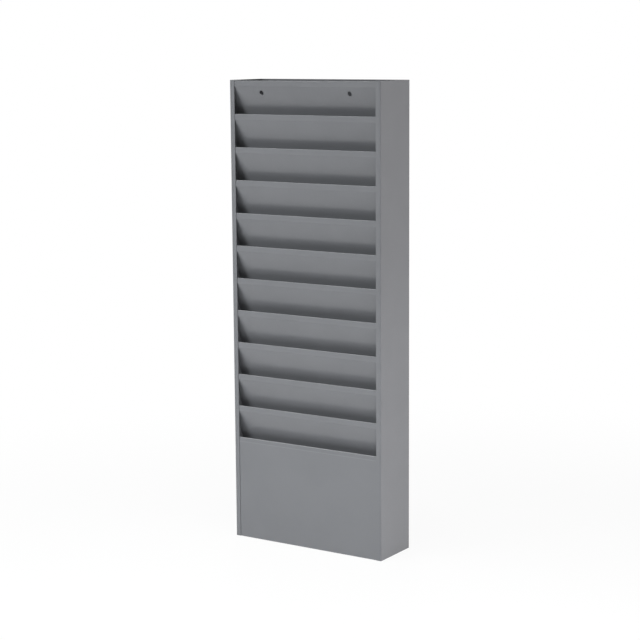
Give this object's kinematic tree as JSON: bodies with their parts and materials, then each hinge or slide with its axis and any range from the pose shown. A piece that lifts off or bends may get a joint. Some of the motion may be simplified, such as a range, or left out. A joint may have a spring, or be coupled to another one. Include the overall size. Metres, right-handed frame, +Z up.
{
  "type": "wall literature rack",
  "caption": "Tall wall-hung steel rack of sloped pockets for files and letter-size papers, with hemmed lips, a plain lower front and an open top.",
  "frame": {"origin": "midway between the two wall screw holes, on the rear face of the back panel", "axes": "+Z up along the rack's height, +Y from the front towards the wall, +X to the right as seen from the front"},
  "size_m": [0.342, 0.108, 0.9144],
  "materials": {
    "powder_coat": "satin grey powder coat"
  },
  "bodies": {
    "root": {"left_side_panel": "powder_coat", "right_side_panel": "powder_coat", "back_panel": "powder_coat", "top_panel": "powder_coat", "divider_01": "powder_coat", "divider_02": "powder_coat", "divider_03": "powder_coat", "divider_04": "powder_coat", "divider_05": "powder_coat", "divider_06": "powder_coat", "divider_07": "powder_coat", "divider_08": "powder_coat", "divider_09": "powder_coat", "divider_10": "powder_coat", "lower_front_panel": "powder_coat", "bottom_panel": "powder_coat"}
  },
  "joints": []
}
